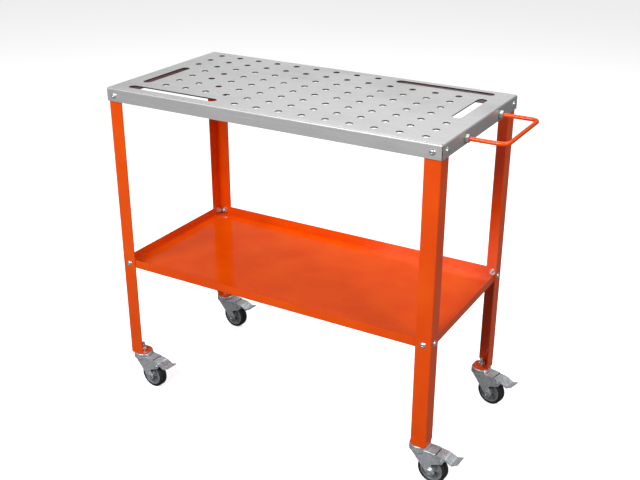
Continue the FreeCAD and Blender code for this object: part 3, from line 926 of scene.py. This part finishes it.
casterShape = {
    "stemRadius": 5.0, "pitch": 1.5, "nutFlats": 17.0,
    "kingHead": 9.0, "kingHeight": 4.0,  # the stem's head inside the fork crown
    "stemWasher": 9.0, "washerPlay": 0.25,
    "capRadius": 26.5, "capSteel": 2.5, "capLow": 93.0, "capTop": 100.0, "footTop": 103.0,
    "forkSteel": 2.5, "forkHalf": 19.0, "crownRadius": 27.0, "crownTop": 92.0, "crownLow": 84.0,
    "turnPlay": 0.3, "noseX": -18.0, "plateEnd": 50.0, "axleBoss": 11.5, "eye": 7.5,
    "notchBehind": 2, "notchAbove": 20,  # corner of the side plates' notch, from the axle
    "axleRadius": 4.0, "axlePitch": 1.25, "axleTail": 8.4,
    "axleFlats": 13.0, "axleHead": 5.3, "axleNut": 6.5,
    "pinRadius": 3.0, "pinHead": 4.5, "pinHeadHeight": 1.5,
    "hubRadius": 29.5, "hubHalf": 11.0, "tread": 12.0,
    "ribs": 6, "ribSize": (15.6, 3.0, 7.4), "ribMiddle": (18.2, 0, 5.3), "ribTaper": 0.7,
    "pedalHalf": 18.5, "pedalSteel": 2.0, "pedalPlay": 0.5, "flangeStart": 74,
    "ridgeRadius": 1.1, "shoeRadius": 2.5, "shoeReach": 6.1,
}


def jointOf(name):
    return next(j for j in frame["joints"] if j["name"] == name)


def arc(x, z, radius, first, last, steps=10):
    # points of (x, z) on an arc between two angles in degrees
    angles = [math.radians(first + (last - first) * i / steps) for i in range(steps + 1)]
    return [(x + radius * math.cos(a), z + radius * math.sin(a)) for a in angles]


def tangentAngle(x, z, centreX, centreZ, radius, side):
    distance = math.hypot(centreX - x, centreZ - z)
    towards = math.atan2(z - centreZ, x - centreX)
    return math.degrees(towards + side * math.acos(radius / distance))


def forkMesh(axleX, axleZ, pivotX, pivotZ):
    shape = casterShape
    top, low, steel = shape["crownTop"], shape["crownLow"], shape["forkSteel"]
    half, end = shape["forkHalf"], shape["plateEnd"]
    outer = shape["crownRadius"]
    bore, inner = shape["stemRadius"] + shape["turnPlay"], outer - steel
    bm = lathe([
        (bore, top - steel), (inner, top - steel), (inner, low + 0.3), (inner + 0.4, low),
        (outer - 0.4, low), (outer, low + 0.4), (outer, top - 1.4), (outer - 0.4, top - 0.5),
        (outer - 1.4, top), (23.5, top), (22.5, top - 0.5), (11, top - 0.5), (10, top), (bore, top),
    ], 48)
    noseX = shape["noseX"]
    notch = (axleX + shape["notchBehind"], axleZ + shape["notchAbove"])
    boss = shape["axleBoss"]
    leading = tangentAngle(noseX, low, axleX, axleZ, boss, 1)
    trailing = tangentAngle(notch[0], notch[1], axleX, axleZ, boss, -1)
    outline = [(noseX, top - steel), (noseX, low)]
    outline += arc(axleX, axleZ, boss, leading, trailing + 360 if trailing < leading else trailing, 22)
    outline += [(notch[0] - 0.6, notch[1] - 2.5), (notch[0] + 2.2, notch[1] + 1.2)]
    outline += arc(pivotX, pivotZ, shape["eye"], -80, 88, 12)
    outline += [(end + 1.5, top - 5), (end, top - 4), (end, top - steel)]
    for side in (-1, 1):
        faces = sorted((side * (half - steel), side * half))
        place(bm, outlinePlate(outline, faces[0], faces[1], 0.45), Matrix.Identity(4))
    plate = bmesh.new()
    bmesh.ops.create_cube(plate, size=1)
    plateStart = 8
    middle = Matrix.Translation(((plateStart + end) / 2, 0, top - steel / 2))
    size = Matrix.Diagonal((end - plateStart, 2 * half, steel, 1))
    bmesh.ops.transform(plate, verts=plate.verts, matrix=middle @ size)

    def upperSide(edge):  # an edge that runs along the plate's upper face, not across it
        first, second = edge.verts
        return min(first.co.z, second.co.z) > top - 0.1 and abs(first.co.y - second.co.y) < 0.1

    roundEdges(plate, 1.9, 60, 4, chosen=upperSide)
    roundEdges(plate, 0.3, 60, 1)
    place(bm, asMesh(plate), Matrix.Identity(4))
    rib = lathe([(boss - 4.2, 0), (boss - 2.0, 0), (boss - 2.4, 0.5), (boss - 3.8, 0.5)], 36)
    rib = asMesh(rib)
    for side in (-1, 1):
        place(bm, rib, aim((axleX, side * half, axleZ), (0, side, 0)))
    return bm


def barAcross(radius, length, sides, edge):  # round bar along Y with rounded rims
    bm = bmesh.new()
    bmesh.ops.create_cone(
        bm, cap_ends=True, segments=sides, radius1=radius, radius2=radius, depth=length,
        matrix=Matrix.Rotation(math.pi / 2, 4, "X"),
    )
    roundEdges(bm, edge, 60)
    return asMesh(bm)


def pedalMesh(axleX, axleZ, pivotX, pivotZ, swing):
    # pressed pedal: a sloping tread plate with a lifted lip, side flanges, cheeks and the brake shoe
    shape = casterShape
    half, steel = shape["pedalHalf"], shape["pedalSteel"]
    bm = bmesh.new()
    line = [
        (52, 89.9), (60, 89.4), (69, 88.6), (74.5, 87.9), (77, 87.0), (84, 83.7), (90.5, 80.8), (93, 80.1),
        (96, 80.4), (102, 82.6), (108, 84.9),
    ]
    start = bm.verts.new((line[0][0], -half, line[0][1]))
    verts = [start]
    for x, z in line[1:]:
        made = bmesh.ops.extrude_vert_indiv(bm, verts=[verts[-1]])["verts"][0]
        made.co = (x, -half, z)
        verts.append(made)
    made = bmesh.ops.extrude_edge_only(bm, edges=bm.edges[:])["geom"]
    bmesh.ops.translate(bm, vec=(0, 2 * half, 0), verts=vertsOf(made))
    flangeEdges = [
        e for e in bm.edges
        if abs(e.verts[0].co.y - e.verts[1].co.y) < 0.1
        and min(v.co.x for v in e.verts) > shape["flangeStart"]
    ]
    made = bmesh.ops.extrude_edge_only(bm, edges=flangeEdges)["geom"]
    for vert in vertsOf(made):
        vert.co.z -= 4.5 if 75 < vert.co.x < 97 else 2.2  # deeper beside the tread than at its ends
    faceOut(bm)
    if sum(f.normal.z for f in bm.faces) < 0:
        bmesh.ops.reverse_faces(bm, faces=bm.faces)
    bmesh.ops.solidify(bm, geom=bm.faces[:], thickness=steel)
    if max(v.co.z for v in bm.verts) > 90.6:
        bmesh.ops.translate(bm, vec=(0, 0, -steel), verts=bm.verts)
    faceOut(bm)
    roundEdges(bm, 0.45, 55)

    ridge = barAcross(shape["ridgeRadius"], 2 * half - 9, 16, 0.5)
    for x, z in ((79.0, 85.6), (82.5, 83.9), (86.0, 82.3), (89.5, 80.7)):
        place(bm, ridge, Matrix.Translation((x, 0, z)))
    outside = shape["forkHalf"] - shape["forkSteel"] - shape["pedalPlay"]
    cheek = [(55, 88), (pivotX - 6, pivotZ - 3)]
    cheek += arc(pivotX, pivotZ, 7.2, 215, 325, 8)
    cheek += [(pivotX + 12, pivotZ + 6), (pivotX + 6, 86.5)]
    for y0, y1 in ((-outside, steel - outside), (outside - steel, outside)):
        place(bm, outlinePlate(cheek, y0, y1, 0.4), Matrix.Identity(4))
    towards = math.atan2(axleZ - pivotZ, axleX - pivotX) + math.radians(swing)
    shoe = barAcross(shape["shoeRadius"], 2 * outside, 24, 0.4)
    shoeX = pivotX + shape["shoeReach"] * math.cos(towards)
    shoeZ = pivotZ + shape["shoeReach"] * math.sin(towards)
    place(bm, shoe, Matrix.Translation((shoeX, 0, shoeZ)))
    return bm


def hubMesh():  # moulded hub along Z: rim, web with a raised ring, boss and six ribs on each face
    shape = casterShape
    rim, half = shape["hubRadius"], shape["hubHalf"]
    side = [(6.05, 14.5), (7.2, 14.5), (8.4, 13.2), (10.2, 13.0), (11, 12.2)]  # boss
    side += [(11.6, 2.6), (12.4, 2.0), (19.2, 2.0), (19.8, 3.2), (21.4, 3.2), (22.0, 2.0)]  # web
    side += [(24.6, 2.0)]
    side += [(25.3, 2.7), (25.6, 10.2), (26.4, half), (rim - 0.5, half), (rim, half - 0.5)]  # rim
    bm = lathe(side + [(r, -z) for r, z in reversed(side)], 60)
    for face in (-1, 1):
        for i in range(shape["ribs"]):
            rib = bmesh.new()
            bmesh.ops.create_cube(rib, size=1)
            bmesh.ops.scale(rib, vec=shape["ribSize"], verts=rib.verts)
            tops = [v for v in rib.verts if v.co.z > 0]
            bmesh.ops.scale(rib, vec=(1, shape["ribTaper"], 1), verts=tops)
            roundEdges(rib, 0.5, 60)
            spot = Matrix.Translation(shape["ribMiddle"])
            turned = Matrix.Rotation(math.tau * i / shape["ribs"], 4, "Z") @ spot
            if face < 0:
                turned = Matrix.Rotation(math.pi, 4, "X") @ turned
            place(bm, asMesh(rib), turned)
    return asMesh(bm)


def tyreMesh(radius):
    # tyre along Z: rounded shoulders, a raised sidewall ring and a fine mould line round the tread
    shape = casterShape
    inner, half = shape["hubRadius"] + 0.05, shape["tread"]
    side = [(inner, half - 1.2), (inner + 0.6, half - 0.5), (30.6, half - 0.5), (30.9, half), (31.9, half)]
    side += [(r, z) for r, z in arc(radius - 5, half - 5, 5, 84, 6, 8)]
    side += [(radius, 6.0), (radius, 0.5), (radius - 0.35, 0.0)]
    return asMesh(lathe(side + [(r, -z) for r, z in reversed(side[:-1])], 64))


def capMesh():  # upper race cap along Z: a shallow pressed cup with a rounded top edge
    outer, steel = casterShape["capRadius"], casterShape["capSteel"]
    low, top = casterShape["capLow"], casterShape["capTop"]
    bore = casterShape["stemRadius"] + 0.05
    inner = outer - steel
    outline = [(bore, top - steel), (inner, top - steel), (inner, low + 0.4), (inner + 0.4, low)]
    outline += [(outer - 0.4, low), (outer, low + 0.4)]
    outline += arc(outer - steel, top - steel, steel, 0, 90, 6)
    return asMesh(lathe(outline + [(bore, top)], 48))


def kingMesh(bottom):  # the stem's riveted head and its plain length up to the foot plate
    shape = casterShape
    stem, head, top = shape["stemRadius"], shape["kingHead"], bottom + shape["kingHeight"]
    return asMesh(lathe([
        (0, bottom), (head - 0.6, bottom), (head, bottom + 0.6), (head, top - 0.5), (head - 0.5, top),
        (stem, top), (stem, shape["footTop"]), (0, shape["footTop"]),
    ], 36, closed=False))


def axleHeadMesh():  # hexagon bolt head with a shallow dish in its end
    shape = casterShape
    flats, height = shape["axleFlats"], shape["axleHead"]
    flat = flats / 2 * 0.96
    bm = lathe([
        (0, 0), (flat, 0), (flats, 0), (flats, height), (flat, height), (5.2, height),
        (4.6, height - 0.4), (0, height - 0.4),
    ], 36, closed=False)
    hexed(bm, flats, flat, 0, height)
    return asMesh(bm)


def pinMesh():  # pedal pin along Z: a head, the shank across the fork and a riveted end
    shape = casterShape
    radius, head, low = shape["pinRadius"], shape["pinHead"], shape["pinHeadHeight"]
    high = low + 2 * shape["forkHalf"]
    return asMesh(lathe([
        (0, 0), (head - 1.1, 0), (head - 0.3, 0.3), (head, 0.9), (head, low), (radius, low),
        (radius, high), (head, high), (head, high + 0.6), (head - 0.3, high + 1.2),
        (head - 1.1, high + 1.5), (0, high + 1.5),
    ], 28, closed=False))


def casterPiece(own, corner, name, slotName, body, node, sources):
    # one piece of a caster from its parts, each in the caster's own frame
    bm = bmesh.new()
    for source, matrix in sources:
        place(bm, source, own @ matrix)
    finishPiece(bm, f"{corner}_{name}", slotName, body, [f"{corner}_{node}"])


stemNuts, stemWashers = bmesh.new(), bmesh.new()
for corner in cornerSides:
    swivel = jointOf(f"{corner}_swivel_turn")
    wheel = jointOf(f"{corner}_wheel_spin")
    brake = jointOf(f"{corner}_brake_press")
    stem = Vector(swivel["pos_m"]) / mm
    axle = Vector(wheel["pos_m"]) / mm
    pivot = Vector(brake["pos_m"]) / mm
    yaw = math.atan2(-wheel["axis"][0], wheel["axis"][1])
    axleX = math.hypot(axle.x - stem.x, axle.y - stem.y)
    pivotX = math.hypot(pivot.x - stem.x, pivot.y - stem.y)
    swing = brake["range_deg"][1]
    own = Matrix.Translation((stem.x, stem.y, 0)) @ Matrix.Rotation(yaw, 4, "Z")
    shape = casterShape

    here = Matrix.Identity(4)
    half = shape["forkHalf"]
    atAxle = aim((axleX, 0, axle.z), (0, 1, 0))
    nearSide = Vector((axleX, -half, axle.z))
    farSide = Vector((axleX, half, axle.z))
    stemLow, stemHigh = boxOf(f"{corner}_stem")
    nutLow, nutHigh = boxOf("stem_nuts")
    washLow, washHigh = boxOf("stem_washers")
    foot = shape["footTop"]
    rod = thread(shape["stemRadius"], shape["pitch"], stemHigh.z - foot)
    casterPiece(own, corner, "StemRod", "bright_zinc", "frame", "stem", [
        (kingMesh(stemLow.z), here), (rod, aim((0, 0, foot), up)),
    ])
    casterPiece(own, corner, "RaceCap", "caster_zinc", "frame", "race_cap", [(capMesh(), here)])
    stemNut = hexNut(shape["nutFlats"], nutHigh.z - nutLow.z, shape["stemRadius"])
    place(stemNuts, stemNut, own @ aim((0, 0, nutLow.z), up))
    stemWasher = washer(
        shape["stemWasher"], shape["stemRadius"] + shape["washerPlay"], washHigh.z - washLow.z,
    )
    place(stemWashers, stemWasher, own @ aim((0, 0, washLow.z), up))

    body = f"{corner}_swivel"
    casterPiece(own, corner, "ForkPressing", "caster_zinc", body, "fork", [
        (asMesh(forkMesh(axleX, axle.z, pivotX, pivot.z)), here),
    ])
    shank = asMesh(lathe([
        (0, 0), (shape["axleRadius"], 0), (shape["axleRadius"], 2 * half), (0, 2 * half),
    ], 24, closed=False))
    tail = thread(shape["axleRadius"] - 0.02, shape["axlePitch"], shape["axleTail"], 16)
    casterPiece(own, corner, "AxleBolt", "bright_zinc", body, "axle_bolt", [
        (axleHeadMesh(), aim(nearSide, (0, -1, 0))),
        (shank, aim(nearSide, (0, 1, 0))),
        (tail, aim(farSide, (0, 1, 0))),
    ])
    axleNut = hexNut(shape["axleFlats"], shape["axleNut"], shape["axleRadius"])
    casterPiece(own, corner, "AxleNut", "bright_zinc", body, "axle_nut", [
        (axleNut, aim(farSide, (0, 1, 0))),
    ])
    pinStart = (pivotX, -half - shape["pinHeadHeight"], pivot.z)
    casterPiece(own, corner, "PedalPin", "bright_zinc", body, "pedal_pin", [
        (pinMesh(), aim(pinStart, (0, 1, 0))),
    ])
    casterPiece(own, corner, "HubMoulding", "hub_plastic", f"{corner}_wheel", "hub", [(hubMesh(), atAxle)])
    casterPiece(own, corner, "TyreRing", "tyre_rubber", f"{corner}_wheel", "tyre", [
        (tyreMesh(axle.z), atAxle),
    ])
    casterPiece(own, corner, "PedalPressing", "caster_zinc", f"{corner}_brake", "brake_pedal", [
        (asMesh(pedalMesh(axleX, axle.z, pivotX, pivot.z, swing)), here),
    ])
finishPiece(stemNuts, "stemNuts", "bright_zinc", "frame", ["stem_nuts"])
finishPiece(stemWashers, "stemWashers", "bright_zinc", "frame", ["stem_washers"])
print("casters made")


# Floor and light

stageLook = {
    "floor": "#fdfdfd",
    "floorHalf": 30.0,  # metres
    "floorGlow": 0.62,
    "farFloor": "#727272",  # what the object reflects of the studio floor
    "studio": 0.19,  # grey of the studio walls, as the object reflects them
    "lights": {
        "overhead": {"place": (-0.1, 1.4, 3.2), "size": (3.4, 2.0), "watts": 60.0},
        "front": {"place": (-0.4, -2.9, 2.5), "size": (2.4, 1.4), "watts": 112.0},
        "right": {"place": (3.1, -1.3, 2.5), "size": (1.6, 1.2), "watts": 50.0},
    },
}


def onlyForCamera(tree, seen, other):
    # one shader as the camera sees it directly, another for all other light
    path = add(tree, "ShaderNodeLightPath").outputs["Is Camera Ray"]
    return add(tree, "ShaderNodeMixShader", {0: path, 1: other, 2: seen}).outputs[0]


ground = bmesh.new()
bmesh.ops.create_grid(ground, x_segments=1, y_segments=1, size=stageLook["floorHalf"])
groundMesh = bpy.data.meshes.new("floor")
ground.to_mesh(groundMesh)
ground.free()
floor = bpy.data.objects.new("floor", groundMesh)
bpy.context.scene.collection.objects.link(floor)
floorMaterial = bpy.data.materials.new("paleFloor")
floorMaterial.use_nodes = True
tree = floorMaterial.node_tree
tree.nodes.clear()
pale = add(tree, "ShaderNodeBsdfDiffuse", {"Color": linear(stageLook["floor"])}).outputs[0]
glow = add(tree, "ShaderNodeEmission", {"Strength": stageLook["floorGlow"]}).outputs[0]
paleAndGlow = add(tree, "ShaderNodeAddShader", {0: pale, 1: glow}).outputs[0]
dim = add(tree, "ShaderNodeBsdfDiffuse", {"Color": linear(stageLook["farFloor"])}).outputs[0]
add(tree, "ShaderNodeOutputMaterial", {"Surface": onlyForCamera(tree, paleAndGlow, dim)})
groundMesh.materials.append(floorMaterial)

world = bpy.data.worlds.new("studio")
world.use_nodes = True
tree = world.node_tree
tree.nodes.clear()
backdrop = add(tree, "ShaderNodeBackground", {"Color": linear("#ffffff"), "Strength": 1.0}).outputs[0]
walls = add(
    tree, "ShaderNodeBackground", {"Color": linear("#ffffff"), "Strength": stageLook["studio"]},
).outputs[0]
add(tree, "ShaderNodeOutputWorld", {"Surface": onlyForCamera(tree, backdrop, walls)})
bpy.context.scene.world = world
for name, look in stageLook["lights"].items():
    data = bpy.data.lights.new(name, "AREA")
    data.shape = "RECTANGLE"
    data.size, data.size_y = look["size"]
    data.energy = look["watts"]
    softbox = bpy.data.objects.new(name, data)
    bpy.context.scene.collection.objects.link(softbox)
    softbox.matrix_world = aim(look["place"], Vector(look["place"]) - Vector((0, 0, 0.5)))
    softbox.visible_camera = False
bpy.context.scene.view_settings.view_transform = "Standard"
print("stage made")
